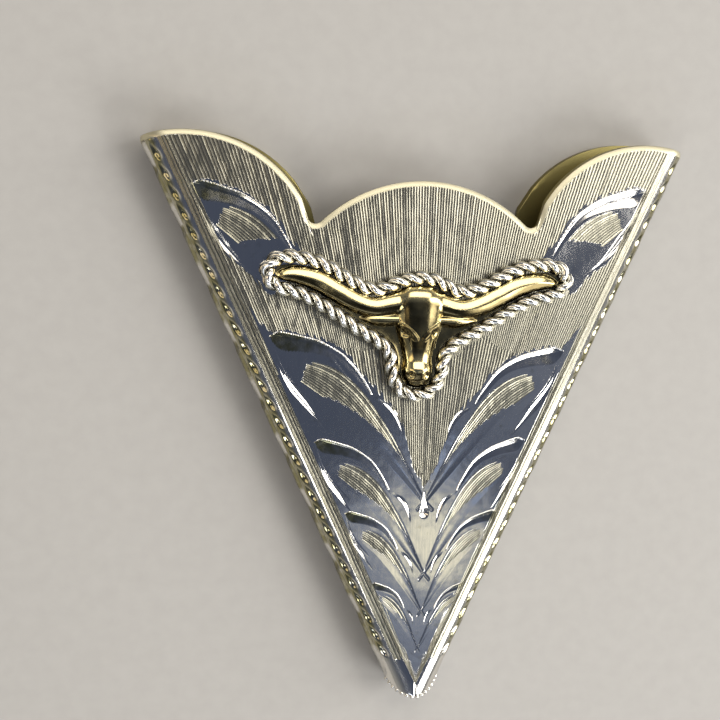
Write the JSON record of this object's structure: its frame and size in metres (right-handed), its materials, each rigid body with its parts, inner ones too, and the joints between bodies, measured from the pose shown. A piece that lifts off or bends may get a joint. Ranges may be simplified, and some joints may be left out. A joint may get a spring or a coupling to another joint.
{
  "type": "collar tip",
  "caption": "V-shaped folded metal cover for a shirt collar's point, with a scalloped edge, engraved leaves and a longhorn steer's head in relief.",
  "frame": {"origin": "middle of the outline, on the flat back that it rests on", "axes": "+Z out of the face, +Y from the point towards the scalloped edge, +X to the right of the face"},
  "size_m": [0.0464, 0.0482, 0.0059],
  "materials": {
    "engraved_silver": "polished and engraved",
    "gold_plate": "polished",
    "bright_silver": "bright cut"
  },
  "bodies": {
    "root": {"shell": "engraved_silver", "longhorn": "gold_plate", "rope_border": "bright_silver"}
  },
  "joints": []
}
